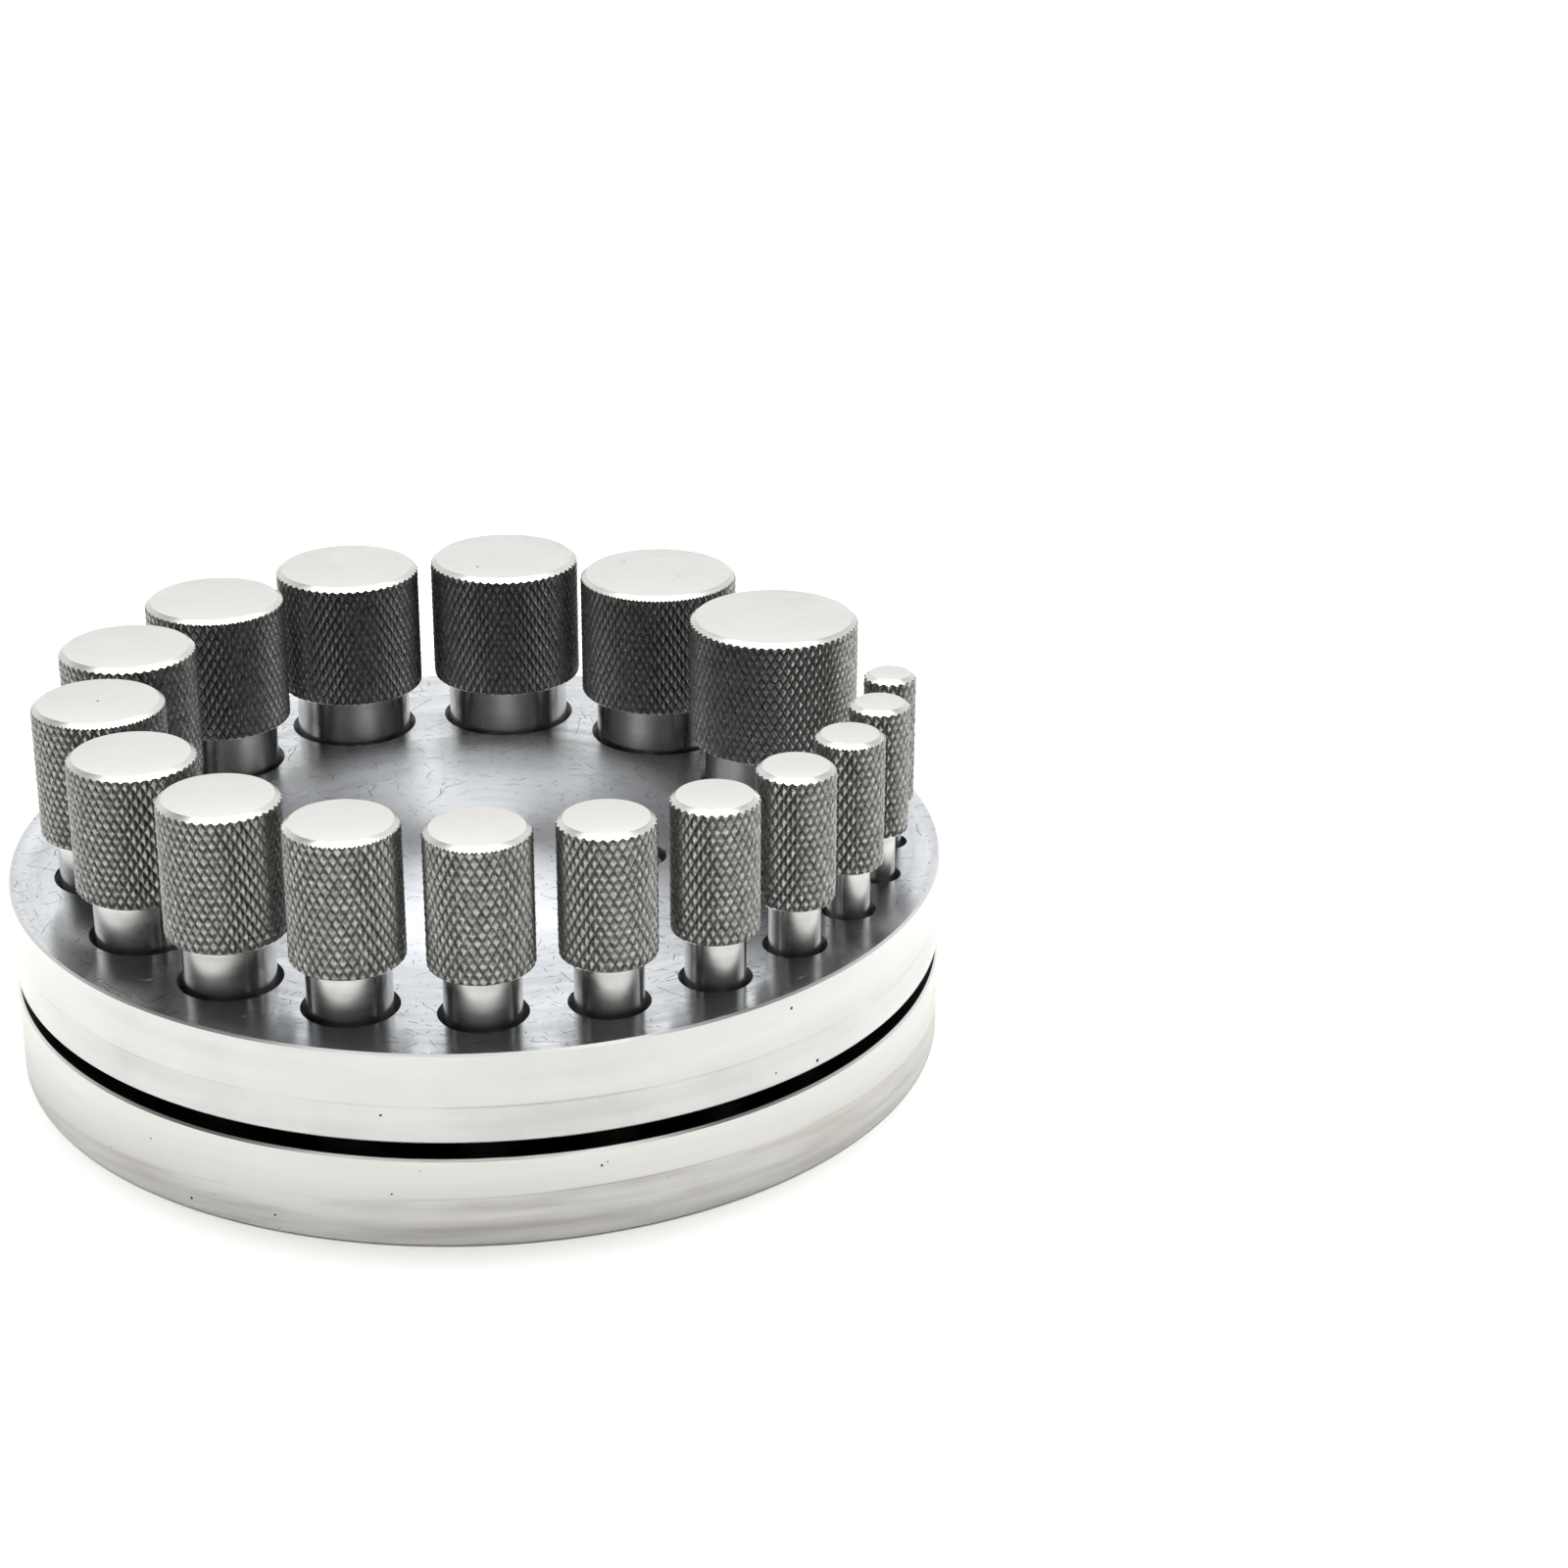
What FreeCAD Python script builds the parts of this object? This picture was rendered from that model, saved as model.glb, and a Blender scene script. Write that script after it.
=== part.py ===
import FreeCAD, Part
import math
import os
import Sketcher

# A round disc cutter: seventeen loose punches stand in a guide plate, above a die plate with the same
# pattern of holes. A spacer keeps the plates apart, so that sheet metal slides in between them from the
# side. A screw at the centre clamps the stack, and two dowel pins keep each guide bore in line with the
# cutting hole below it.
#
# Millimetres. The origin is the centre of the die plate's lower face, +Z up. The punches go round
# clockwise, seen from above, from the smallest on +X to the largest.

# Driving dimensions
SIZES = {
    # The two plates and the slot between them
    "plate_diameter": 130.0,
    "guide_plate_thickness": 12.5,
    "die_plate_thickness": 12.5,
    "sheet_slot": 2.25,
    "edge_break": 0.3,
    # Setting out the holes: the turn left empty between the largest and the smallest, and the land out to
    # the rim, which grows by a small share of each hole's diameter
    "closing_turn": 28.5,
    "rim_land": 4.05,
    "rim_share": 0.155,
    # The bores and the cutting holes
    "bore_clearance": 0.05,
    "mouth_chamfer": 0.8,
    # The punches: the set steps up evenly from the smallest, and each head is wider than its shank by a
    # fixed step and a small share of the diameter
    "smallest_punch": 4.0,
    "punch_step": 1.0,
    "head_stand_off": 6.9,
    "head_height": 18.6,
    "head_step": 3.1,
    "head_share": 0.07,
    "head_top_chamfer_width": 0.9,
    "head_top_chamfer_height": 0.7,
    "head_foot_chamfer": 0.35,
    # The spacer
    "spacer_diameter": 62.0,
    # The centre screw, a metric socket head cap screw
    "screw_diameter": 6.0,
    "screw_length": 16.0,
    "screw_head_diameter": 10.0,
    "screw_head_height": 6.0,
    "screw_head_chamfer": 0.5,
    "screw_hex": 5.0,
    "screw_hex_depth": 3.0,
    "screw_recess": 1.0,
    "screw_hole_clearance": 0.3,
    "screw_head_clearance": 0.25,
    "thread_clearance": 0.02,
    # The two dowel pins, opposite each other
    "dowel_diameter": 8.0,
    "dowel_length": 24.0,
    "dowel_chamfer": 0.45,
    "dowel_circle_radius": 23.0,
    "dowel_turn": 14.0,
    "dowel_recess": 1.0,
    "dowel_clearance": 0.02,
}

# The set's nominal sizes, which name the punches
NOMINAL_SIZES = range(4, 21)

# How near two places have to be to count as the same one
SAME_PLACE = 0.001

doc = FreeCAD.newDocument("disc_cutter")
sheet = doc.addObject("Spreadsheet::Sheet", "sizes")
for row, (alias, size) in enumerate(SIZES.items(), start=1):
    sheet.set(f"A{row}", alias)
    sheet.set(f"B{row}", str(size))
    sheet.setAlias(f"B{row}", alias)
doc.recompute()


def value_of(expression):
    """Work out an expression on the sheet's sizes as a plain number."""
    result = sheet.evalExpression(expression)
    return float(getattr(result, "Value", result))


def add_body(label, east="0", north="0", height="0"):
    """Start a piece whose own origin stands at a place that follows the sizes."""
    body = doc.addObject("PartDesign::Body", label)
    body.Label = label
    for axis, expression in (("x", east), ("y", north), ("z", height)):
        if expression != "0":
            body.setExpression(f"Placement.Base.{axis}", expression)
    return body


def add_sketch(body, name, plane, height="0"):
    """Open a sketch on one of the body's own planes, raised by a height that follows the sizes."""
    sketch = body.newObject("Sketcher::SketchObject", name)
    origin_plane = next(item for item in body.Origin.OriginFeatures if item.Role == plane)
    sketch.AttachmentSupport = [(origin_plane, "")]
    sketch.MapMode = "FlatFace"
    if height != "0":
        sketch.setExpression("AttachmentOffset.Base.z", height)
    return sketch


def bind(sketch, name, constraint, expression):
    """Add a constraint and tie its size to an expression."""
    number = sketch.addConstraint(constraint)
    sketch.renameConstraint(number, name)
    sketch.setExpression(f"Constraints.{name}", expression)


def place_point(sketch, name, geometry, point, east, north):
    """Hold a point of the sketch at a place that follows the sizes."""
    if east == "0":
        sketch.addConstraint(Sketcher.Constraint("PointOnObject", geometry, point, -2))
    else:
        across = Sketcher.Constraint("DistanceX", -1, 1, geometry, point, value_of(east))
        bind(sketch, f"{name}_east", across, east)
    if north == "0":
        sketch.addConstraint(Sketcher.Constraint("PointOnObject", geometry, point, -1))
    else:
        along = Sketcher.Constraint("DistanceY", -1, 1, geometry, point, value_of(north))
        bind(sketch, f"{name}_north", along, north)


def draw_circle(sketch, name, radius, east="0", north="0"):
    """Draw a circle whose centre and radius follow the sizes."""
    middle = FreeCAD.Vector(value_of(east), value_of(north), 0)
    circle = Part.Circle(middle, FreeCAD.Vector(0, 0, 1), value_of(radius))
    geometry = sketch.addGeometry(circle)
    place_point(sketch, name, geometry, 3, east, north)
    bind(sketch, f"{name}_radius", Sketcher.Constraint("Radius", geometry, value_of(radius)), radius)


def draw_outline(sketch, name, corners):
    """Draw a closed outline of straight lines through corners that follow the sizes."""
    points = [FreeCAD.Vector(value_of(east), value_of(north), 0) for east, north in corners]
    lines = []
    for start, end in zip(points, points[1:] + points[:1]):
        lines.append(sketch.addGeometry(Part.LineSegment(start, end)))
    for line, following in zip(lines, lines[1:] + lines[:1]):
        sketch.addConstraint(Sketcher.Constraint("Coincident", line, 2, following, 1))
    for number, (line, (east, north)) in enumerate(zip(lines, corners), start=1):
        place_point(sketch, f"{name}_{number}", line, 1, east, north)


def pad(body, name, sketch, length):
    """Raise a sketch into a solid."""
    feature = body.newObject("PartDesign::Pad", name)
    feature.Profile = sketch
    feature.setExpression("Length", length)
    doc.recompute()
    return feature


def pocket(body, name, sketch, depth=None):
    """Cut a sketch down into the body, right through it where no depth is given."""
    before = body.Shape.Volume
    feature = body.newObject("PartDesign::Pocket", name)
    feature.Profile = sketch
    if depth is None:
        feature.Type = "ThroughAll"
    else:
        feature.setExpression("Length", depth)
    doc.recompute()
    if body.Shape.Volume >= before:
        raise RuntimeError(f"{name} cut nothing")
    return feature


def turn(body, name, sketch):
    """Turn a half section about the sketch's upright axis."""
    feature = body.newObject("PartDesign::Revolution", name)
    feature.Profile = sketch
    feature.ReferenceAxis = (sketch, ["V_Axis"])
    feature.Angle = 360
    doc.recompute()
    return feature


def circles_at(feature, height, centres):
    """Name a feature's circular edges that lie at a height round any of the given centres."""
    names = []
    for number, edge in enumerate(feature.Shape.Edges, start=1):
        if not isinstance(edge.Curve, Part.Circle):
            continue
        middle = edge.Curve.Center
        if abs(middle.z - value_of(height)) > SAME_PLACE:
            continue
        if any(math.hypot(middle.x - east, middle.y - north) < SAME_PLACE for east, north in centres):
            names.append(f"Edge{number}")
    return names


def chamfer(body, name, base, edges, size):
    """Break the named edges of a feature at 45 degrees."""
    feature = body.newObject("PartDesign::Chamfer", name)
    feature.Base = (base, edges)
    feature.setExpression("Size", size)
    doc.recompute()
    return feature


# Heights that several pieces share
SLOT_FLOOR = "sizes.die_plate_thickness"
SLOT_ROOF = "(sizes.die_plate_thickness + sizes.sheet_slot)"
STACK_TOP = f"({SLOT_ROOF} + sizes.guide_plate_thickness)"
SCREW_SEAT_DEPTH = "(sizes.screw_recess + sizes.screw_head_height)"


def add_varset(name, floats):
    """Start a set of named numbers that expressions can read."""
    varset = doc.addObject("App::VarSet", name)
    for number in floats:
        varset.addProperty("App::PropertyFloat", number)
    return varset


def add_station(number, nominal):
    """Size one place in the ring: its punch's diameter, and how far from the centre its axis lies."""
    station = add_varset(f"station_{nominal:02d}", ["Diameter", "Reach"])
    diameter = f"{station.Name}.Diameter"
    station.setExpression("Diameter", f"sizes.smallest_punch + {number} * sizes.punch_step")
    margin = f"(sizes.rim_land + sizes.rim_share * {diameter} + sizes.mouth_chamfer)"
    station.setExpression("Reach", f"sizes.plate_diameter / 2 - {margin} - {diameter} / 2")
    doc.recompute()
    return station


def share_out_land(stations):
    """Find the land that all neighbours keep between their holes, so that the ring comes out even.

    Each step round the ring is half of both diameters and the land, taken at the mean of both reaches.
    """
    holes = []
    lands = []
    for one, two in zip(stations, stations[1:]):
        reaches = f"({one.Name}.Reach + {two.Name}.Reach)"
        holes.append(f"({one.Name}.Diameter + {two.Name}.Diameter) / {reaches}")
        lands.append(f"2 / {reaches}")
    ring = add_varset("ring", ["Land"])
    around = "(360 - sizes.closing_turn) * pi / 180"
    ring.setExpression("Land", f"({around} - ({' + '.join(holes)})) / ({' + '.join(lands)})")
    doc.recompute()
    return ring


def place_stations(stations, ring):
    """Set the stations out one after the other, clockwise, the first of them on +X."""
    places = []
    for number, station in enumerate(stations):
        place = add_varset(station.Name.replace("station", "place"), ["East", "North"])
        place.addProperty("App::PropertyAngle", "Turn")
        if places:
            before = stations[number - 1].Name
            step = f"(({before}.Diameter + {station.Name}.Diameter) / 2 + {ring.Name}.Land)"
            reach = f"(({before}.Reach + {station.Name}.Reach) / 2)"
            place.setExpression("Turn", f"{places[-1].Name}.Turn - {step} / {reach} * 180 deg / pi")
        place.setExpression("East", f"{station.Name}.Reach * cos({place.Name}.Turn)")
        place.setExpression("North", f"{station.Name}.Reach * sin({place.Name}.Turn)")
        doc.recompute()
        places.append(place)
    return places


stations = [add_station(number, nominal) for number, nominal in enumerate(NOMINAL_SIZES)]
ring = share_out_land(stations)
places = place_stations(stations, ring)
punch_centres = [(place.East, place.North) for place in places]

# The dowel pins stand opposite each other: the right one is a little clockwise of +X
DOWEL_EAST = "(sizes.dowel_circle_radius * cos(sizes.dowel_turn))"
DOWEL_NORTH = "(sizes.dowel_circle_radius * sin(sizes.dowel_turn))"
DOWEL_PLACES = {
    "right": (DOWEL_EAST, f"-{DOWEL_NORTH}"),
    "left": (f"-{DOWEL_EAST}", DOWEL_NORTH),
}
dowel_centres = [(value_of(east), value_of(north)) for east, north in DOWEL_PLACES.values()]


def draw_stack_holes(sketch, screw_radius):
    """Draw what passes through every layer of the stack: the screw's hole and the two dowel holes."""
    draw_circle(sketch, "screw_hole", screw_radius)
    for side, (east, north) in DOWEL_PLACES.items():
        draw_circle(
            sketch,
            f"dowel_hole_{side}",
            "sizes.dowel_diameter / 2 + sizes.dowel_clearance",
            east,
            north,
        )


def draw_punch_holes(sketch):
    """Draw the seventeen holes, each a running fit on its own punch."""
    for station, place in zip(stations, places):
        draw_circle(
            sketch,
            f"{station.Name}_hole",
            f"{station.Name}.Diameter / 2 + sizes.bore_clearance",
            f"{place.Name}.East",
            f"{place.Name}.North",
        )


def break_rim(body, feature, *heights):
    """Break the plate's outer edges at the given heights, and no hole that shares their centre."""
    inner = value_of("sizes.plate_diameter / 4")
    names = []
    for height in heights:
        for name in circles_at(feature, height, [(0, 0)]):
            if feature.Shape.getElement(name).Curve.Radius > inner:
                names.append(name)
    return chamfer(body, f"{body.Label}_rim_edges", feature, names, "sizes.edge_break")


def make_die_plate():
    """The lower plate. Its holes are sharp at the slot, where they cut, and run straight through."""
    body = add_body("die_plate")
    outline = add_sketch(body, "die_plate_outline", "XY_Plane")
    draw_circle(outline, "rim", "sizes.plate_diameter / 2")
    pad(body, "die_plate_disc", outline, "sizes.die_plate_thickness")

    holes = add_sketch(body, "die_plate_holes", "XY_Plane", SLOT_FLOOR)
    draw_punch_holes(holes)
    draw_stack_holes(holes, "sizes.screw_diameter / 2 + sizes.thread_clearance")
    drilled = pocket(body, "die_plate_drilling", holes)
    break_rim(body, drilled, "0", SLOT_FLOOR)
    return body


def make_guide_plate():
    """The upper plate: countersunk bores that guide the punches, and the screw's counterbore."""
    body = add_body("guide_plate", height=SLOT_ROOF)
    outline = add_sketch(body, "guide_plate_outline", "XY_Plane")
    draw_circle(outline, "rim", "sizes.plate_diameter / 2")
    pad(body, "guide_plate_disc", outline, "sizes.guide_plate_thickness")

    holes = add_sketch(body, "guide_plate_holes", "XY_Plane", "sizes.guide_plate_thickness")
    draw_punch_holes(holes)
    draw_stack_holes(holes, "sizes.screw_diameter / 2 + sizes.screw_hole_clearance")
    pocket(body, "guide_plate_drilling", holes)

    seat = add_sketch(body, "screw_seat", "XY_Plane", "sizes.guide_plate_thickness")
    draw_circle(seat, "counterbore", "sizes.screw_head_diameter / 2 + sizes.screw_head_clearance")
    sunk = pocket(body, "screw_counterbore", seat, SCREW_SEAT_DEPTH)

    mouths = circles_at(sunk, "sizes.guide_plate_thickness", punch_centres)
    countersunk = chamfer(body, "guide_plate_mouths", sunk, mouths, "sizes.mouth_chamfer")
    pins = circles_at(countersunk, "sizes.guide_plate_thickness", dowel_centres)
    eased = chamfer(body, "guide_plate_pin_mouths", countersunk, pins, "sizes.edge_break")
    break_rim(body, eased, "0", "sizes.guide_plate_thickness")
    return body


def make_spacer():
    """The disc between the plates. It stays inside the holes, so sheet can reach under every punch."""
    body = add_body("spacer", height=SLOT_FLOOR)
    outline = add_sketch(body, "spacer_outline", "XY_Plane")
    draw_circle(outline, "edge", "sizes.spacer_diameter / 2")
    draw_stack_holes(outline, "sizes.screw_diameter / 2 + sizes.screw_hole_clearance")
    pad(body, "spacer_disc", outline, "sizes.sheet_slot")
    return body


def make_centre_screw():
    """The socket head cap screw: its head seats in the guide plate, its thread in the die plate."""
    seat = f"{STACK_TOP} - {SCREW_SEAT_DEPTH}"
    body = add_body("centre_screw", height=seat)
    section = add_sketch(body, "screw_section", "XZ_Plane")
    head = "sizes.screw_head_diameter / 2"
    corners = [
        ("0", "-sizes.screw_length"),
        ("sizes.screw_diameter / 2 - sizes.screw_head_chamfer", "-sizes.screw_length"),
        ("sizes.screw_diameter / 2", "-sizes.screw_length + sizes.screw_head_chamfer"),
        ("sizes.screw_diameter / 2", "0"),
        (head, "0"),
        (head, "sizes.screw_head_height - sizes.screw_head_chamfer"),
        (f"{head} - sizes.screw_head_chamfer", "sizes.screw_head_height"),
        ("0", "sizes.screw_head_height"),
    ]
    draw_outline(section, "screw", corners)
    turn(body, "screw_blank", section)

    # The socket is a hexagon, turned off the axes as a tightened screw happens to stand
    socket = add_sketch(body, "screw_socket", "XY_Plane", "sizes.screw_head_height")
    corner_radius = "sizes.screw_hex / sqrt(3)"
    angles = range(15, 360, 60)
    hexagon = [(f"{corner_radius} * cos({angle})", f"{corner_radius} * sin({angle})") for angle in angles]
    draw_outline(socket, "socket", hexagon)
    pocket(body, "screw_hex_socket", socket, "sizes.screw_hex_depth")
    return body


def make_dowel_pin(side):
    """A ground pin with eased ends, pressed through both plates and the spacer."""
    east, north = DOWEL_PLACES[side]
    foot = f"{STACK_TOP} - sizes.dowel_recess - sizes.dowel_length"
    body = add_body(f"dowel_pin_{side}", east, north, foot)
    section = add_sketch(body, f"dowel_{side}_section", "XZ_Plane")
    radius = "sizes.dowel_diameter / 2"
    corners = [
        ("0", "0"),
        (f"{radius} - sizes.dowel_chamfer", "0"),
        (radius, "sizes.dowel_chamfer"),
        (radius, "sizes.dowel_length - sizes.dowel_chamfer"),
        (f"{radius} - sizes.dowel_chamfer", "sizes.dowel_length"),
        ("0", "sizes.dowel_length"),
    ]
    draw_outline(section, f"dowel_{side}", corners)
    turn(body, f"dowel_{side}_turned", section)
    return body


def make_punch(nominal, station, place):
    """One punch, turned from bar: it stands on the bench, through both plates, with its head above."""
    label = f"punch_{nominal:02d}mm"
    body = add_body(label, f"{place.Name}.East", f"{place.Name}.North")
    section = add_sketch(body, f"{label}_section", "XZ_Plane")
    shank = f"{station.Name}.Diameter / 2"
    head = f"((1 + sizes.head_share) * {station.Name}.Diameter + sizes.head_step) / 2"
    shoulder = f"({STACK_TOP} + sizes.head_stand_off)"
    top = f"({shoulder} + sizes.head_height)"
    corners = [
        ("0", "0"),
        (shank, "0"),
        (shank, shoulder),
        (f"{head} - sizes.head_foot_chamfer", shoulder),
        (head, f"{shoulder} + sizes.head_foot_chamfer"),
        (head, f"{top} - sizes.head_top_chamfer_height"),
        (f"{head} - sizes.head_top_chamfer_width", top),
        ("0", top),
    ]
    draw_outline(section, "punch", corners)
    turn(body, f"{label}_turned", section)
    return body


pieces = [make_die_plate(), make_guide_plate(), make_spacer(), make_centre_screw()]
pieces += [make_dowel_pin(side) for side in DOWEL_PLACES]
pieces += [make_punch(*setting) for setting in zip(NOMINAL_SIZES, stations, places)]
doc.recompute()

for item in doc.Objects:
    if "Invalid" in item.State or "Error" in item.State:
        raise RuntimeError(f"{item.Label} failed: {item.State}")
for piece in pieces:
    if piece.Shape.isNull() or not piece.Shape.isValid():
        raise RuntimeError(f"{piece.Label} has no valid shape")

os.makedirs("parts", exist_ok=True)
for piece in pieces:
    piece.Shape.exportStep(f"parts/{piece.Label}.step")
    print(piece.Label, f"{piece.Shape.Volume:.1f} mm3", len(piece.Shape.Solids), "solid")
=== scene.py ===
import logging
import math
import random
from dataclasses import dataclass, field
from enum import Enum
from typing import Callable, Optional, Sequence

import bpy
from mathutils import Euler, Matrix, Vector


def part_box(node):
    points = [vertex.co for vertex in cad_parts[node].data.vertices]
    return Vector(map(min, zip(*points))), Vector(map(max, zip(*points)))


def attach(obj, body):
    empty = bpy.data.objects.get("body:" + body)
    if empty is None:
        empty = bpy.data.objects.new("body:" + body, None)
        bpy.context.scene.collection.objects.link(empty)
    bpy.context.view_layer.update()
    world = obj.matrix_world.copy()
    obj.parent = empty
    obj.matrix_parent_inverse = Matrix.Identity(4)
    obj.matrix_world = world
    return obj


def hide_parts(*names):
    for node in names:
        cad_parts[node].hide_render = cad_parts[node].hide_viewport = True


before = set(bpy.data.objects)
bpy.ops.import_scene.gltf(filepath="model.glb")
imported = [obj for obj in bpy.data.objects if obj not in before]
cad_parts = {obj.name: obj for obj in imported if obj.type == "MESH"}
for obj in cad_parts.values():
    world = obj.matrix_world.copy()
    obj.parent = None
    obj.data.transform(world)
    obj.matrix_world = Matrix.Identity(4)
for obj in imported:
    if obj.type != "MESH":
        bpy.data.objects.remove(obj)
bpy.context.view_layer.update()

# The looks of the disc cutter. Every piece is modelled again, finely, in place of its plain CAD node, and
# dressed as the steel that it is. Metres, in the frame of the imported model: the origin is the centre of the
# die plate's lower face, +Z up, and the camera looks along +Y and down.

log = logging.getLogger("disc_cutter")

MM = 0.001
AXIS_ATTRIBUTE = "axis_place"
CENTRE = Vector((0, 0, 0))
SMOOTH_BELOW = math.radians(20)
LEVEL = 0.95  # a face whose normal is this upright, or more, is level
SEED = 17
Piece = bpy.types.Object
Tree = bpy.types.NodeTree
Socket = bpy.types.NodeSocket
Profile = Sequence[tuple[float, float]]

# What the steel surfaces share. Lengths are in millimetres, and each of the PLACES is the stretch of a
# noise, from 0 to 1, over which dullness or a kind of mark comes in.
LINE_DRIFT = 0.012  # how far a tool mark strays from its ring, as a share of its length
BAND_DRIFT = 0.06  # the same for a band of dullness
BAND_WIDTH = 9.0  # in tool marks
DULL_PLACES = (0.38, 0.64)
RUBBED_CORE = 0.6  # the share of the rubbed radius that is rubbed evenly
SEAM_WIDTH = 0.22  # the line where a plate was turned round in the chuck
SEAM_BLEND = 0.4  # how far to each side of it the dullness changes
SEAM_PATCH = 25.0
SEAM_PLACES = (0.4, 0.65)
SEAM_STRENGTH = 0.24
NICK_CELL = 1.7  # a cell holds one nick at most
NICK_CHANCE = 0.45
NICK_RADIUS = 0.22  # the largest, in cells
NICK_PATCH = 9.0
NICK_PLACES = (0.42, 0.6)
SCRATCHES = ((1.9, 1.6), (3.5, 4.0), (9.0, 10.0))  # each a cell, and the longest scratch that lies in one
SCRATCH_WIDTH = 0.12
SCRATCH_BEND = 6.0  # how long its bends are
SCRATCH_SWAY = 2.0  # how far they carry it aside
SCRATCH_TURN = 40.0  # radians: many turns, so that a cell's number from 0 to 1 points its scratch anywhere
SCRATCH_PATCH = 3.0  # in cells
SCRATCH_PLACES = (0.4, 0.58)
MARK_COLOUR = "#4b4a48"  # the film that gathers in scratches, nicks and the seam


class Element(Enum):
    """What a selection is made of."""

    EDGE = 1
    FACE = 2


class Lay(Enum):
    """The way the tool marks of a finish run."""

    AROUND = "rings stacked along the axis, as a lathe leaves on a wall"
    CONCENTRIC = "rings about the axis, as a lathe leaves on a face"
    EVEN = "no direction"


def deselect_all() -> None:
    """Leave edit mode and deselect every object."""
    if bpy.context.object is not None and bpy.context.object.mode != "OBJECT":
        bpy.ops.object.mode_set(mode="OBJECT")
    bpy.ops.object.select_all(action="DESELECT")


def make_active(piece: Piece) -> None:
    """Select one piece alone and make it the active one."""
    deselect_all()
    piece.select_set(True)
    bpy.context.view_layer.objects.active = piece


def select_elements(piece: Piece, element: Element, wanted: Callable[[object], bool]) -> None:
    """Open a piece in edit mode with only the wanted elements selected.

    Args:
        piece: The piece, which is made the active one.
        element: Whether edges or faces are picked.
        wanted: Says of one edge or polygon whether it is picked.
    """
    make_active(piece)
    mesh = piece.data
    mesh.vertices.foreach_set("select", [False] * len(mesh.vertices))
    mesh.edges.foreach_set("select", [False] * len(mesh.edges))
    mesh.polygons.foreach_set("select", [False] * len(mesh.polygons))
    picked = mesh.edges if element is Element.EDGE else mesh.polygons
    picked.foreach_set("select", [wanted(item) for item in picked])
    bpy.context.tool_settings.mesh_select_mode = (False, element is Element.EDGE, element is Element.FACE)
    bpy.ops.object.mode_set(mode="EDIT")


def start_disc(
    name: str, axis: Vector, radius: float, height: float, segments: int, spin: float = 0.0
) -> Piece:
    """Add a filled circle that a turned shape is raised from.

    Args:
        name: The piece's name.
        axis: A point of the upright axis.
        radius: The circle's radius.
        height: The circle's height.
        segments: The number of its sides.
        spin: The turn of its first corner about the axis, in radians.

    Returns:
        The new object, at the origin, with its place in its mesh.
    """
    deselect_all()
    bpy.ops.mesh.primitive_circle_add(
        vertices=segments,
        radius=radius,
        fill_type="NGON",
        location=(axis.x, axis.y, height),
        rotation=(0, 0, spin),
    )
    piece = bpy.context.object
    piece.name = name
    piece.data.name = name
    bpy.ops.object.transform_apply(location=True, rotation=True, scale=True)
    return piece


def face_outwards() -> None:
    """Turn every face of the solid that is in edit mode outwards, and leave edit mode."""
    bpy.ops.mesh.select_all(action="SELECT")
    bpy.ops.mesh.normals_make_consistent(inside=False)
    bpy.ops.object.mode_set(mode="OBJECT")


def make_turned(name: str, axis: Vector, profile: Profile, segments: int, spin: float = 0.0) -> Piece:
    """Model a turned solid: a disc raised and resized through the corners of its profile.

    Args:
        name: The piece's name.
        axis: A point of the upright axis.
        profile: The (radius, height) corners of the half section, from the foot to the top.
        segments: The number of sides round the axis.
        spin: The turn of its first corner about the axis, in radians.

    Returns:
        The closed solid.
    """
    radius, height = profile[0]
    piece = start_disc(name, axis, radius, height, segments, spin)
    bpy.ops.object.mode_set(mode="EDIT")
    bpy.ops.mesh.select_all(action="SELECT")
    for next_radius, next_height in profile[1:]:
        bpy.ops.mesh.extrude_region_move(TRANSFORM_OT_translate={"value": (0, 0, next_height - height)})
        if next_radius != radius:
            share = next_radius / radius
            bpy.ops.transform.resize(value=(share, share, 1), center_override=(axis.x, axis.y, next_height))
        radius, height = next_radius, next_height
    face_outwards()
    return piece


def disc_profile(radius: float, low: float, high: float, ease: float) -> Profile:
    """Give the half section of a disc with its two edges eased."""
    return [(radius - ease, low), (radius, low + ease), (radius, high - ease), (radius - ease, high)]


def axis_of(node: str) -> Vector:
    """Give the point at the bench's height on the upright axis of a round CAD node."""
    middle = sum(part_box(node), Vector()) / 2
    return Vector((middle.x, middle.y, 0.0))


def combine(piece: Piece, tool: Piece, operation: str) -> None:
    """Cut or trim a piece with a tool solid, which is then thrown away.

    Args:
        piece: The piece that is changed.
        tool: The solid that changes it.
        operation: DIFFERENCE or INTERSECT.
    """
    make_active(piece)
    bpy.ops.object.modifier_add(type="BOOLEAN")
    cut = piece.modifiers[-1]
    cut.operation = operation
    cut.object = tool
    cut.solver = "EXACT"
    bpy.ops.object.modifier_apply(modifier=cut.name)
    bpy.data.objects.remove(tool, do_unlink=True)


def join(tools: Sequence[Piece]) -> Piece:
    """Join several tool solids into one object.

    Args:
        tools: The solids.

    Returns:
        The first of them, which now holds all.
    """
    make_active(tools[0])
    for tool in tools:
        tool.select_set(True)
    bpy.ops.object.join()
    return tools[0]


def smooth(piece: Piece) -> None:
    """Shade a piece smooth, apart from its edges."""
    make_active(piece)
    bpy.ops.object.shade_smooth_by_angle(angle=SMOOTH_BELOW)


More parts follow.
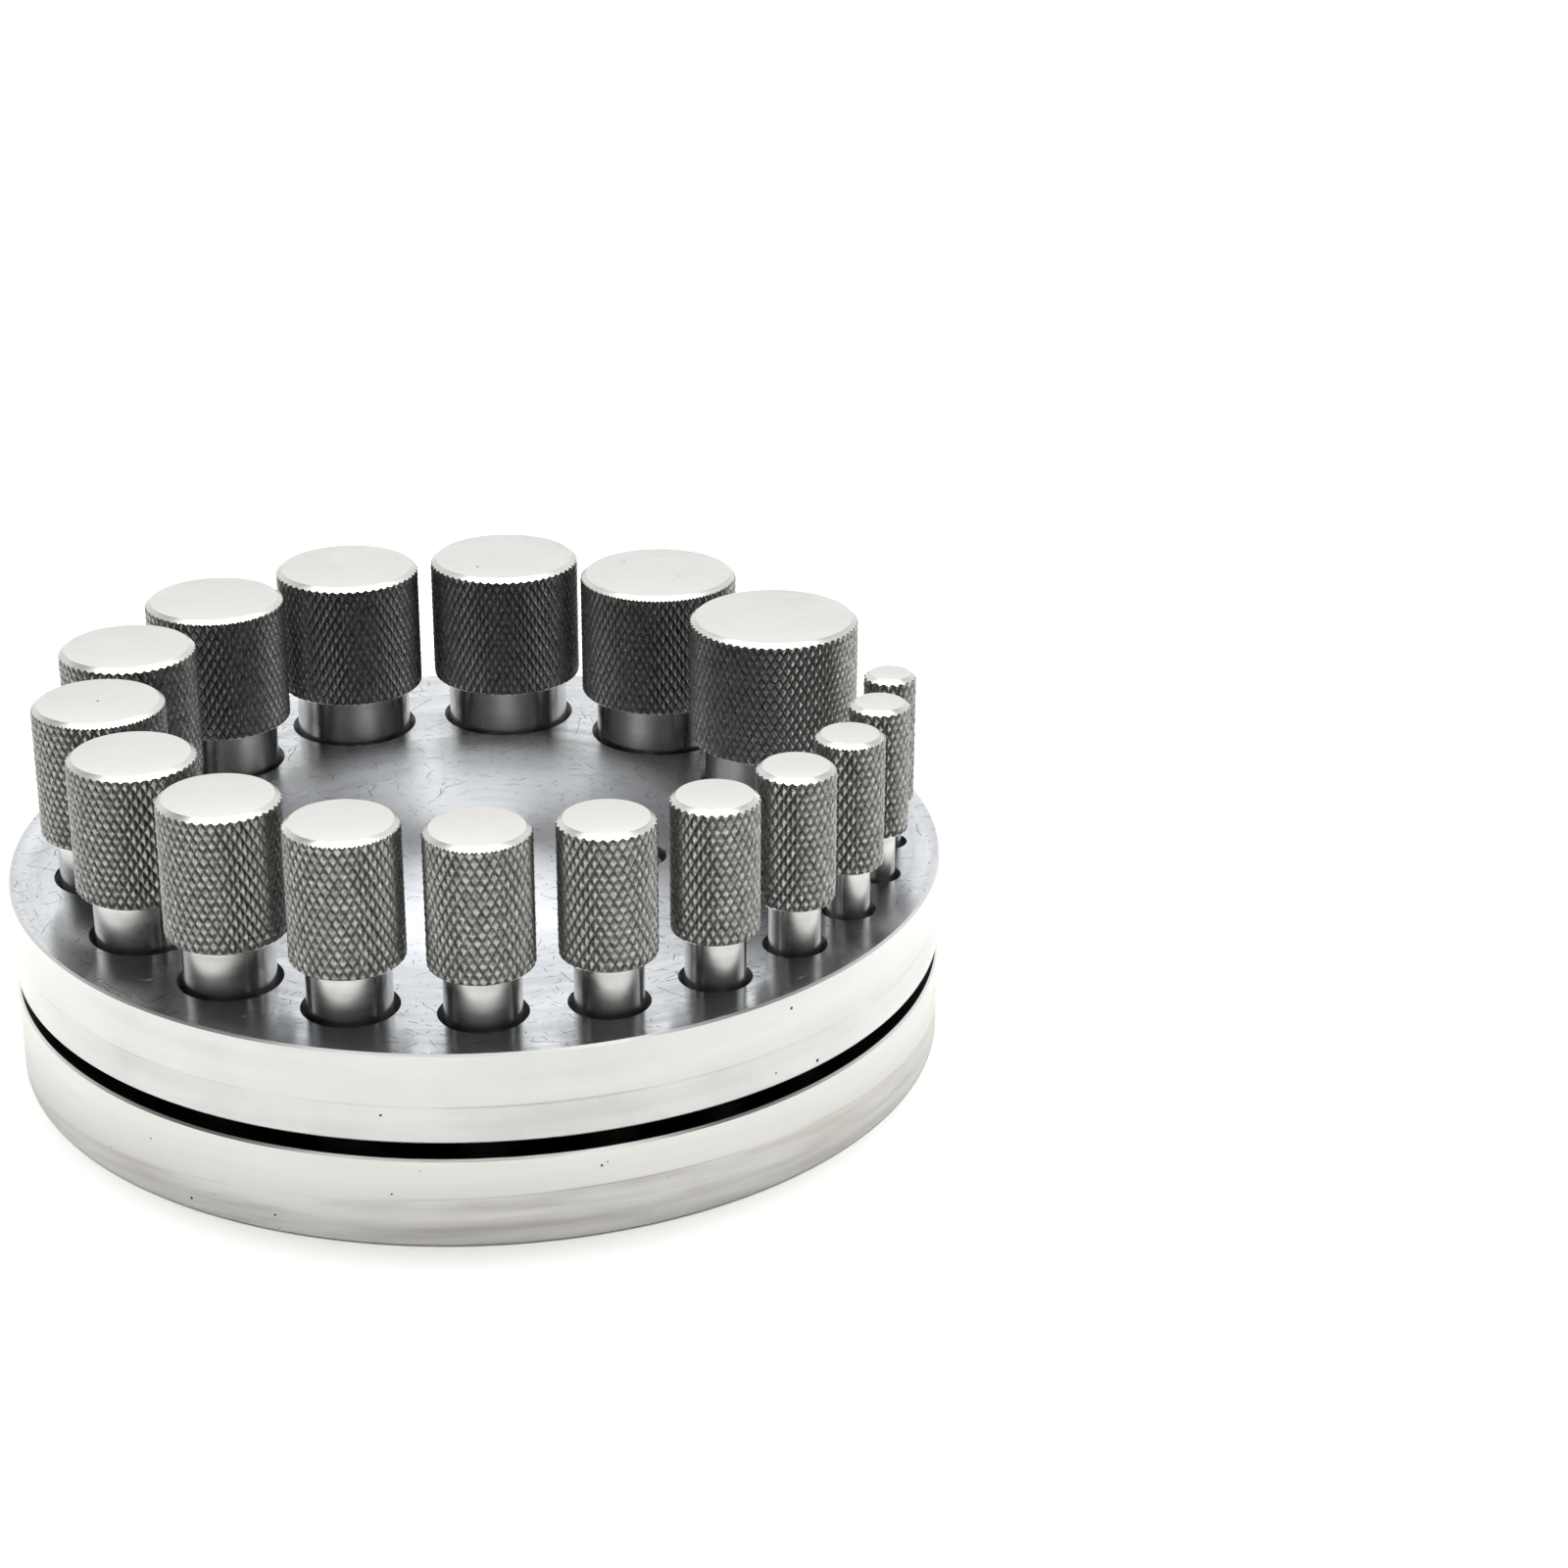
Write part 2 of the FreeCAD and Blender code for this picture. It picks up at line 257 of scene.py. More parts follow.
def linear(code: str) -> tuple[float, float, float, float]:
    """Turn an sRGB hex colour into the linear colour that a shader takes.

    Args:
        code: The colour, such as #d5d5d4.

    Returns:
        Linear red, green and blue, and full opacity.
    """
    channels = [int(code[place:place + 2], 16) / 255 for place in (1, 3, 5)]
    values = [c / 12.92 if c <= 0.04045 else ((c + 0.055) / 1.055) ** 2.4 for c in channels]
    return (values[0], values[1], values[2], 1.0)


def add_node(
    tree: Tree,
    kind: str,
    inputs: Optional[dict[object, object]] = None,
    **settings: object,
) -> bpy.types.Node:
    """Add a node with its settings and links.

    Args:
        tree: The node tree that it goes in.
        kind: The node's type name.
        inputs: A value, or a socket to link from, for each input by its name or number.
        settings: The node's own properties.

    Returns:
        The new node.
    """
    node = tree.nodes.new(kind)
    for name, value in settings.items():
        setattr(node, name, value)
    for name, value in (inputs or {}).items():
        if isinstance(value, Socket):
            tree.links.new(value, node.inputs[name])
        else:
            node.inputs[name].default_value = value
    return node


@dataclass(frozen=True)
class SteelFinish:
    """A steel surface: what it is, how it was made, and how marked it is. Lengths are in millimetres.

    Attributes:
        name: The material's name.
        bright: The colour of its cleanest places, in sRGB hex.
        dull: The colour of its dullest places.
        roughness: The roughness of the cleanest and of the dullest places.
        lay: The way that its tool marks run.
        line_spacing: The spacing of the tool marks.
        line_depth: Their depth.
        band_share: How much of the dullness runs in bands along the lay. The rest is clouds.
        stain_size: The size of the clouds.
        scuffs: The strength of the scratches, from 0 to 1.
        pits: How many nicks there are, from 0 to 1.
        mark_depth: The depth of scratches, nicks and the seam.
        stretch: How much the tool marks stretch a reflection, from 0 to 1.
        rubbed_radius: The radius about the axis that handling has rubbed dull, or 0.
        rubbed_roughness: The roughness that this adds.
        tilt: The slope of the tool marks towards +X and towards +Y.
        seam: The height of the line where the plate was turned round in the chuck, or 0. Where the marks
            tilt, it is the height at which the line's level meets the axis.
        calm: The share of the dullness that is left above the seam.
    """

    name: str
    bright: str
    dull: str
    roughness: tuple[float, float]
    lay: Lay = Lay.EVEN
    line_spacing: float = 0.25
    line_depth: float = 0.002
    band_share: float = 0.5
    stain_size: float = 14.0
    scuffs: float = 0.0
    pits: float = 0.0
    mark_depth: float = 0.02
    stretch: float = 0.0
    rubbed_radius: float = 0.0
    rubbed_roughness: float = 0.0
    tilt: tuple[float, float] = (0.0, 0.0)
    seam: float = 0.0
    calm: float = 1.0

    def make(self) -> bpy.types.Material:
        """Build the material's nodes.

        Returns:
            The material.
        """
        material = bpy.data.materials.new(self.name)
        material.use_nodes = True
        tree = material.node_tree
        tree.nodes.clear()
        place = self.add_place(tree)
        lines = self.add_lines(tree, place, self.line_spacing, LINE_DRIFT)
        dullness = self.add_dullness(tree, place)
        colour = add_node(tree, "ShaderNodeMix", data_type="RGBA", inputs={
            0: dullness, 6: linear(self.bright), 7: linear(self.dull),
        }).outputs[2]
        rough = add_node(tree, "ShaderNodeMapRange", inputs={
            0: dullness, 3: self.roughness[0], 4: self.roughness[1],
        }).outputs[0]
        if self.rubbed_radius:
            rubbed = add_node(tree, "ShaderNodeMapRange", interpolation_type="SMOOTHSTEP", inputs={
                0: self.add_distance(tree, place),
                1: RUBBED_CORE * self.rubbed_radius * MM,
                2: self.rubbed_radius * MM,
                3: self.rubbed_roughness,
                4: 0.0,
            })
            rough = add_node(tree, "ShaderNodeMath", operation="ADD", inputs={
                0: rough, 1: rubbed.outputs[0],
            }).outputs[0]
        bump = add_node(tree, "ShaderNodeBump", inputs={
            "Strength": 1.0, "Distance": self.line_depth * MM, "Height": lines,
        })
        marks = self.add_marks(tree, place)
        if marks is not None:
            colour = add_node(tree, "ShaderNodeMix", data_type="RGBA", blend_type="MULTIPLY", inputs={
                0: marks, 6: colour, 7: linear(MARK_COLOUR),
            }).outputs[2]
            bump = add_node(tree, "ShaderNodeBump", invert=True, inputs={
                "Strength": 1.0, "Distance": self.mark_depth * MM, "Height": marks, "Normal": bump.outputs[0],
            })
        shader = add_node(tree, "ShaderNodeBsdfPrincipled", inputs={
            "Metallic": 1.0,
            "Anisotropic": self.stretch,
            "Base Color": colour,
            "Roughness": rough,
            "Normal": bump.outputs[0],
            "Tangent": self.add_stretch(tree, place),
        })
        add_node(tree, "ShaderNodeOutputMaterial", inputs={"Surface": shader.outputs[0]})
        return material

    def add_place(self, tree: Tree) -> Socket:
        """Measure every point from its own piece's axis, in metres."""
        coordinates = add_node(tree, "ShaderNodeTexCoord")
        axis = add_node(tree, "ShaderNodeAttribute", attribute_name=AXIS_ATTRIBUTE)
        return add_node(tree, "ShaderNodeVectorMath", operation="SUBTRACT", inputs={
            0: coordinates.outputs["Object"], 1: axis.outputs["Vector"],
        }).outputs[0]

    def add_height(self, tree: Tree, place: Socket) -> Socket:
        """Measure how high a point lies, from a level that tilts with the tool marks."""
        return add_node(tree, "ShaderNodeVectorMath", operation="DOT_PRODUCT", inputs={
            0: place, 1: (-self.tilt[0], -self.tilt[1], 1.0),
        }).outputs["Value"]

    def add_flat(self, tree: Tree, place: Socket) -> Socket:
        """Take the height out of a place, which leaves the way from the axis to it."""
        return add_node(tree, "ShaderNodeVectorMath", operation="MULTIPLY", inputs={
            0: place, 1: (1.0, 1.0, 0.0),
        }).outputs[0]

    def add_distance(self, tree: Tree, place: Socket) -> Socket:
        """Measure how far a point lies from its piece's axis."""
        flat = self.add_flat(tree, place)
        return add_node(tree, "ShaderNodeVectorMath", operation="LENGTH", inputs={0: flat}).outputs["Value"]

    def add_stretch(self, tree: Tree, place: Socket) -> Socket:
        """Point across the tool marks, which is the way that they stretch a reflection.

        Args:
            tree: The node tree.
            place: The point, measured from the piece's axis.

        Returns:
            The direction, of length 1.
        """
        if self.lay is not Lay.CONCENTRIC:
            return add_node(tree, "ShaderNodeCombineXYZ", inputs={2: 1.0}).outputs[0]
        flat = self.add_flat(tree, place)
        return add_node(tree, "ShaderNodeVectorMath", operation="NORMALIZE", inputs={0: flat}).outputs[0]

    def add_lines(self, tree: Tree, place: Socket, spacing: float, slant: float) -> Socket:
        """Draw tool marks that follow the lay.

        Args:
            tree: The node tree.
            place: The point, measured from the piece's axis.
            spacing: The marks' spacing in millimetres.
            slant: How far a mark drifts from its ring over a given length.

        Returns:
            Their height, from 0 to 1.
        """
        split = add_node(tree, "ShaderNodeSeparateXYZ", inputs={0: place})
        along = self.add_distance(tree, place) if self.lay is Lay.CONCENTRIC else self.add_height(tree, place)
        drift = 1.0 if self.lay is Lay.EVEN else slant
        steps = [
            add_node(tree, "ShaderNodeMath", operation="MULTIPLY", inputs={
                0: source, 1: share / (spacing * MM),
            })
            for source, share in ((split.outputs[0], drift), (split.outputs[1], drift), (along, 1.0))
        ]
        point = add_node(tree, "ShaderNodeCombineXYZ", inputs={
            number: step.outputs[0] for number, step in enumerate(steps)
        })
        return add_node(tree, "ShaderNodeTexNoise", inputs={
            "Vector": point.outputs[0], "Scale": 1.0, "Detail": 3.0, "Roughness": 0.6,
        }).outputs[0]

    def add_dullness(self, tree: Tree, place: Socket) -> Socket:
        """Spread soft clouds and bands of duller metal.

        Args:
            tree: The node tree.
            place: The point, measured from the piece's axis.

        Returns:
            The dullness, from 0 to 1.
        """
        cloud = add_node(tree, "ShaderNodeTexNoise", inputs={
            "Vector": place, "Scale": 1 / (self.stain_size * MM), "Detail": 4.0, "Roughness": 0.65,
        })
        bands = self.add_lines(tree, place, self.line_spacing * BAND_WIDTH, BAND_DRIFT)
        both = add_node(tree, "ShaderNodeMix", data_type="FLOAT", inputs={
            0: self.band_share, 2: cloud.outputs[0], 3: bands,
        })
        dull = add_node(tree, "ShaderNodeMapRange", inputs={
            0: both.outputs[0], 1: DULL_PLACES[0], 2: DULL_PLACES[1],
        }).outputs[0]
        if self.seam:
            above = add_node(tree, "ShaderNodeMapRange", inputs={
                0: self.add_height(tree, place),
                1: (self.seam - SEAM_BLEND) * MM,
                2: (self.seam + SEAM_BLEND) * MM,
                3: 1.0,
                4: self.calm,
            })
            dull = add_node(tree, "ShaderNodeMath", operation="MULTIPLY", inputs={
                0: dull, 1: above.outputs[0],
            }).outputs[0]
        return dull

    def add_patches(
        self, tree: Tree, place: Socket, size: float, places: tuple[float, float], strength: float = 1.0
    ) -> Socket:
        """Choose the patches of the surface where one kind of mark is found.

        Args:
            tree: The node tree.
            place: The point, measured from the piece's axis.
            size: The patches' size in millimetres.
            places: The stretch of the noise over which the mark comes in.
            strength: The mark's full strength.

        Returns:
            The mark's strength at the point.
        """
        noise = add_node(tree, "ShaderNodeTexNoise", inputs={"Vector": place, "Scale": 1 / (size * MM)})
        return add_node(tree, "ShaderNodeMapRange", inputs={
            0: noise.outputs[0], 1: places[0], 2: places[1], 3: 0.0, 4: strength,
        }).outputs[0]

    def add_marks(self, tree: Tree, place: Socket) -> Optional[Socket]:
        """Add the seam, the scratches and the nicks, where the surface has them.

        Args:
            tree: The node tree.
            place: The point, measured from the piece's axis.

        Returns:
            Their strength, from 0 to 1, or None where it has none of them.
        """
        marks = []
        if self.seam:
            line = add_node(tree, "ShaderNodeMath", operation="COMPARE", inputs={
                0: self.add_height(tree, place), 1: self.seam * MM, 2: SEAM_WIDTH / 2 * MM,
            })
            faint = self.add_patches(tree, place, SEAM_PATCH, SEAM_PLACES, SEAM_STRENGTH)
            marks.append(add_node(tree, "ShaderNodeMath", operation="MULTIPLY", inputs={
                0: line.outputs[0], 1: faint,
            }).outputs[0])
        if self.scuffs:
            marks += [self.add_scratches(tree, place, cell, length) for cell, length in SCRATCHES]
        if self.pits:
            marks.append(self.add_nicks(tree, place))
        total = marks[0] if marks else None
        for mark in marks[1:]:
            total = add_node(tree, "ShaderNodeMath", operation="MAXIMUM", inputs={
                0: total, 1: mark,
            }).outputs[0]
        return total

    def add_nicks(self, tree: Tree, place: Socket) -> Socket:
        """Strew small round nicks, which lie together in patches.

        Args:
            tree: The node tree.
            place: The point, measured from the piece's axis.

        Returns:
            1 in a nick, and 0 elsewhere.
        """
        cells = add_node(tree, "ShaderNodeTexVoronoi", inputs={
            "Vector": place, "Scale": 1 / (NICK_CELL * MM), "Randomness": 1.0,
        })
        chance = add_node(tree, "ShaderNodeMapRange", inputs={
            0: cells.outputs["Color"], 1: 1.0 - NICK_CHANCE * self.pits, 2: 1.0, 3: 0.0, 4: NICK_RADIUS,
        })
        size = add_node(tree, "ShaderNodeMath", operation="MULTIPLY", inputs={
            0: chance.outputs[0], 1: self.add_patches(tree, place, NICK_PATCH, NICK_PLACES),
        })
        return add_node(tree, "ShaderNodeMath", operation="LESS_THAN", inputs={
            0: cells.outputs["Distance"], 1: size.outputs[0],
        }).outputs[0]

    def add_scratches(self, tree: Tree, place: Socket, cell: float, length: float) -> Socket:
        """Strew thin scratches, one to a cell, each bent a little and turned its own way.

        Args:
            tree: The node tree.
            place: The point, measured from the piece's axis.
            cell: The size of a cell in millimetres.
            length: The length of the longest scratch in millimetres.

        Returns:
            Their strength, from 0 to 1.
        """
        sway = add_node(tree, "ShaderNodeTexNoise", inputs={
            "Vector": place, "Scale": 1 / (SCRATCH_BEND * MM),
        })
        bent = add_node(tree, "ShaderNodeVectorMath", operation="MULTIPLY_ADD", inputs={
            0: sway.outputs["Color"], 1: (SCRATCH_SWAY * MM, SCRATCH_SWAY * MM, 0.0), 2: place,
        }).outputs[0]
        cells = add_node(tree, "ShaderNodeTexVoronoi", voronoi_dimensions="2D", inputs={
            "Vector": bent, "Scale": 1 / (cell * MM), "Randomness": 1.0,
        })
        inside = add_node(tree, "ShaderNodeVectorMath", operation="SUBTRACT", inputs={
            0: bent, 1: cells.outputs["Position"],
        })
        turn = add_node(tree, "ShaderNodeMath", operation="MULTIPLY", inputs={
            0: cells.outputs["Color"], 1: SCRATCH_TURN,
        })
        turned = add_node(tree, "ShaderNodeVectorRotate", rotation_type="Z_AXIS", inputs={
            "Vector": inside.outputs[0], "Angle": turn.outputs[0],
        })
        split = add_node(tree, "ShaderNodeSeparateXYZ", inputs={0: turned.outputs[0]})
        reach = add_node(tree, "ShaderNodeMath", operation="MULTIPLY", inputs={
            0: cells.outputs["Color"], 1: length / 2 * MM,
        })
        along = add_node(tree, "ShaderNodeMath", operation="COMPARE", inputs={
            0: split.outputs[0], 1: 0.0, 2: reach.outputs[0],
        })
        across = add_node(tree, "ShaderNodeMath", operation="COMPARE", inputs={
            0: split.outputs[1], 1: 0.0, 2: SCRATCH_WIDTH / 2 * MM,
        })
        both = add_node(tree, "ShaderNodeMath", operation="MULTIPLY", inputs={
            0: along.outputs[0], 1: across.outputs[0],
        })
        shows = self.add_patches(tree, place, SCRATCH_PATCH * cell, SCRATCH_PLACES, self.scuffs)
        return add_node(tree, "ShaderNodeMath", operation="MULTIPLY", inputs={
            0: both.outputs[0], 1: shows,
        }).outputs[0]


class Finish(Enum):
    """The finishes of the tool's surfaces."""

    # Plate steel faced on a lathe, then rubbed: its fine rings stretch what it mirrors towards the centre
    PLATE_FACE = SteelFinish("plate_steel_faced", "#e1e4e7", "#b9bcc1", (0.16, 0.26), Lay.CONCENTRIC,
                             line_spacing=0.3, line_depth=0.0025, scuffs=0.75, pits=0.9, stretch=0.6,
                             rubbed_radius=48.0, rubbed_roughness=0.185)
    # The same steel as the lathe left it round the rim: satin, nearly white, with faint lines round it
    PLATE_RIM = SteelFinish("plate_steel_turned", "#d5d5d4", "#c6c6c4", (0.3, 0.42), Lay.AROUND,
                            line_spacing=0.4, line_depth=0.008, stain_size=25.0, pits=0.9, stretch=0.4,
                            seam=19.9, calm=0.6)
    # The lower plate's rim, a little warmer and more worn
    LOWER_RIM = SteelFinish("plate_steel_turned_worn", "#dad9d6", "#c8c5c0", (0.3, 0.5), Lay.AROUND,
                            line_spacing=0.2, line_depth=0.01, band_share=0.75, stain_size=30.0, pits=0.9,
                            stretch=0.4, tilt=(0.035, -0.08), seam=1.6, calm=0.2)
    # Reamed bores, their mouths and the slot's faces, made dark all through: painted shade in these recesses
    BORE = SteelFinish("plate_steel_bores_painted_shade", "#4c4d4f", "#303133", (0.28, 0.4), Lay.AROUND,
                       line_spacing=0.3, line_depth=0.003)
    # The faced ends of the punches: nearly white satin with fine rings
    PUNCH_CAP = SteelFinish("punch_steel_faced", "#d3d3d0", "#c4c2bd", (0.3, 0.42), Lay.CONCENTRIC,
                            line_spacing=0.25, line_depth=0.004, band_share=0.2, stain_size=9.0, pits=0.45)
    # The flats that are left between rolled grooves: grey, rubbed by fingers
    KNURL_FLAT = SteelFinish("punch_steel_knurl_flats", "#b0b0ad", "#777673", (0.24, 0.38), Lay.EVEN,
                             line_spacing=0.25, line_depth=0.022, band_share=0.0, stain_size=0.7)
    # The rolled grooves, darker than the flats: painted shade in the grooves
    KNURL_GROOVE = SteelFinish("punch_steel_knurl_grooves_painted_shade", "#9d9c99", "#6b6a67", (0.3, 0.44), Lay.EVEN,
                               line_spacing=0.25, line_depth=0.022, band_share=0.0, stain_size=1.0)
    # Shanks ground and polished to run in their bores: a soft mirror with the finest rings
    PUNCH_SHANK = SteelFinish("punch_steel_polished", "#cbcbc9", "#b9b9b6", (0.17, 0.27), Lay.AROUND,
                              line_spacing=0.25, line_depth=0.002, stain_size=6.0, stretch=0.8)
    # Black oxide on the socket screw: near black, with an oily sheen
    BLACK_OXIDE = SteelFinish("screw_steel_black_oxide", "#2c2d2f", "#1d1d1f", (0.3, 0.42), Lay.AROUND,
                              line_spacing=0.2, line_depth=0.002)
    # Hardened and ground pins: light grey
    DOWEL_GROUND = SteelFinish("dowel_steel_ground", "#c8c8c8", "#b0b0b0", (0.22, 0.32), Lay.CONCENTRIC,
                               line_spacing=0.25, line_depth=0.002)


class Finisher:
    """Makes each finish once and lays it on the faces of the pieces."""

    def __init__(self) -> None:
        """Start with no material made."""
        self.made: dict[Finish, bpy.types.Material] = {}

    def material(self, finish: Finish) -> bpy.types.Material:
        """Give a finish's material, which is made the first time it is asked for."""
        if finish not in self.made:
            self.made[finish] = finish.value.make()
        return self.made[finish]

    def dress(
        self,
        piece: Piece,
        axis: Vector,
        finishes: Sequence[Finish],
        choose: Callable[[bpy.types.MeshPolygon], int],
    ) -> None:
        """Lay finishes on a piece, face by face.

        Args:
            piece: The piece.
            axis: The point of the piece's axis that its tool marks are measured from.
            finishes: The finishes, one slot each.
            choose: Gives the number of a polygon's finish.
        """
        mesh = piece.data
        mesh.materials.clear()
        for finish in finishes:
            mesh.materials.append(self.material(finish))
        mesh.polygons.foreach_set("material_index", [choose(face) for face in mesh.polygons])
        places = mesh.attributes.new(AXIS_ATTRIBUTE, "FLOAT_VECTOR", "POINT")
        places.data.foreach_set("vector", list(axis) * len(mesh.vertices))
        mesh.update()


@dataclass(frozen=True)
class Station:
    """One punch's place in the ring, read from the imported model."""

    node: str
    nominal: float
    centre: Vector
    foot: float
    top: float
    head_radius: float

    @classmethod
    def read(cls, node: str) -> "Station":
        """Read a station from its CAD node.

        Args:
            node: The node's name, which says the punch's size.

        Returns:
            The station.
        """
        low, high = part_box(node)
        size = float(node.removeprefix("punch_").removesuffix("mm")) * MM
        return cls(node, size, axis_of(node), low.z, high.z, (high.x - low.x) / 2)


@dataclass
class Punch:
    """One loose punch: a polished shank and a knurled head with a faced and chamfered top."""

    station: Station
    head_height: float = 18.6 * MM
    top_chamfer_width: float = 0.9 * MM
    top_chamfer_height: float = 0.7 * MM
    top_round: float = 0.12 * MM
    foot_chamfer: float = 0.35 * MM
    shank_chamfer: float = 0.15 * MM
    diamond_width: float = 1.23 * MM
    lay_angle: float = math.radians(30)
    wall_width: float = 0.2 * MM
    groove_depth: float = 0.18 * MM
    crown_width: float = 0.27 * MM
    crown_height: float = 0.11 * MM
    hair: float = 0.01 * MM
    spare: float = 2.0 * MM
    spare_rows: int = 3
    segments: int = 112

    @property
    def shoulder(self) -> float:
        """The height of the head's foot."""
        return self.station.top - self.head_height

    @property
    def diamond_height(self) -> float:
        """The height of a diamond whose sides lean by the knurl's angle."""
        return self.diamond_width / math.tan(self.lay_angle)

    @property
    def tip_radius(self) -> float:
        """The radius out to the flats of the knurl."""
        return self.station.head_radius - self.hair

    def make_blank(self) -> Piece:
        """Turn the punch as it is before knurling.

        Returns:
            The turned solid, with its chamfers.
        """
        spot = self.station
        head, shank = spot.head_radius, spot.nominal / 2
        soft = self.top_round
        slope = self.top_chamfer_height / self.top_chamfer_width
        inner = head - self.top_chamfer_width
        # Its last three corners round the edge between the chamfer and the faced top
        profile = [
            (shank - self.shank_chamfer, spot.foot),
            (shank, spot.foot + self.shank_chamfer),
            (shank, self.shoulder),
            (head - self.foot_chamfer, self.shoulder),
            (head, self.shoulder + self.foot_chamfer),
            (head, spot.top - self.top_chamfer_height),
            (inner + soft, spot.top - soft * slope),
            (inner + soft * 0.35, spot.top - soft * slope * 0.2),
            (inner - soft * 0.6, spot.top),
        ]
        return make_turned(f"{spot.node}_turned", spot.centre, profile, self.segments)

    def make_stock(self, chance: random.Random) -> Piece:
        """Roll the diamond knurl on a bar that is longer than the head at both ends.

        Args:
            chance: Gives the turn and the height that the rolls happened to start at.

        Returns:
            The knurled bar, which runs on plain below the foot of the punch.
        """
        spot = self.station
        root = self.tip_radius - self.crown_height - self.groove_depth
        columns = round(2 * math.pi * self.tip_radius / self.diamond_width)
        rows = math.ceil(self.head_height / self.diamond_height) + self.spare_rows

        # The first row starts between 1.2 and 2 diamonds below the head
        start = self.shoulder - self.diamond_height * (1.2 + 0.8 * chance.random())
        spin = chance.uniform(0, math.pi)
        heights = [start + row * self.diamond_height for row in range(rows + 1)]
        bar = make_turned("knurled_bar", spot.centre, [(root, height) for height in heights], columns, spin)

        # A point in the middle of each cell, then the cells' own edges go: what is left are diamonds
        corners = len(bar.data.vertices)
        select_elements(bar, Element.FACE, lambda face: abs(face.normal.z) < 0.5)
        bulge = root * (1 - math.cos(math.pi / columns))
        bpy.ops.mesh.poke(offset=bulge, use_relative_offset=False)
        bpy.ops.object.mode_set(mode="OBJECT")
        points = bar.data.vertices

        def is_cell_edge(edge: bpy.types.MeshEdge) -> bool:
            """Say whether an edge belongs to the first grid, and not to the bar's two ends."""
            first, second = (points[number] for number in edge.vertices)
            if first.index >= corners or second.index >= corners:
                return False
            return not any(
                abs(first.co.z - end) < self.hair and abs(second.co.z - end) < self.hair
                for end in (heights[0], heights[-1])
            )

        select_elements(bar, Element.EDGE, is_cell_edge)
        bpy.ops.mesh.dissolve_edges(use_verts=False)
        bpy.ops.object.mode_set(mode="OBJECT")

        select_elements(bar, Element.FACE, lambda face: abs(face.normal.z) < 0.5 and len(face.vertices) == 4)
        bpy.ops.mesh.inset(thickness=self.wall_width, depth=self.groove_depth, use_individual=True)
        bpy.ops.mesh.inset(thickness=self.crown_width, depth=self.crown_height, use_individual=True)
        bpy.ops.object.mode_set(mode="OBJECT")

        select_elements(bar, Element.FACE, lambda face: face.normal.z < -0.5)
        drop = spot.foot - self.spare - start
        bpy.ops.mesh.extrude_region_move(TRANSFORM_OT_translate={"value": (0, 0, drop)})
        bpy.ops.object.mode_set(mode="OBJECT")
        return bar

    def choose(self, face: bpy.types.MeshPolygon) -> int:
        """Choose a face's finish.

        Args:
            face: The face.

        Returns:
            0 for the cap and the chamfers, 1 for the shank, 2 for the knurl's flats, 3 for its grooves.
        """
        away = face.center - self.station.centre
        radius = math.hypot(away.x, away.y)
        if face.center.z < self.shoulder - self.hair:
            return 1
        upright = abs(face.normal.z)
        if upright > 0.9:
            return 0
        outward = (face.normal.x * away.x + face.normal.y * away.y) / max(radius, self.hair)
        near_top = face.center.z > self.station.top - self.top_chamfer_height - self.hair
        near_foot = face.center.z < self.shoulder + self.foot_chamfer + self.hair
        runs_round = abs(outward**2 + upright**2 - 1) < 0.02
        if upright > 0.45 and outward > 0.4 and runs_round and (near_top or near_foot):
            return 0
        above_walls = radius > self.tip_radius - self.crown_height - 0.4 * self.groove_depth
        # The groove walls take the darker groove finish: painted shade in the grooves.
        return 2 if outward > 0.9 and above_walls else 3

    def build(self, finisher: Finisher, chance: random.Random) -> Piece:
        """Model the punch, dress it and put it in place of its CAD node.

        Args:
            finisher: Lays the finishes.
            chance: The source of what differs between one punch and the next.

        Returns:
            The finished piece.
        """
        piece = self.make_blank()
        combine(piece, self.make_stock(chance), "INTERSECT")
        kinds = [Finish.PUNCH_CAP, Finish.PUNCH_SHANK, Finish.KNURL_FLAT, Finish.KNURL_GROOVE]
        marks_from = self.station.centre + Vector((0, 0, chance.random()))
        finisher.dress(piece, marks_from, kinds, self.choose)
        smooth(piece)
        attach(piece, self.station.node)
        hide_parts(self.station.node)
        return piece


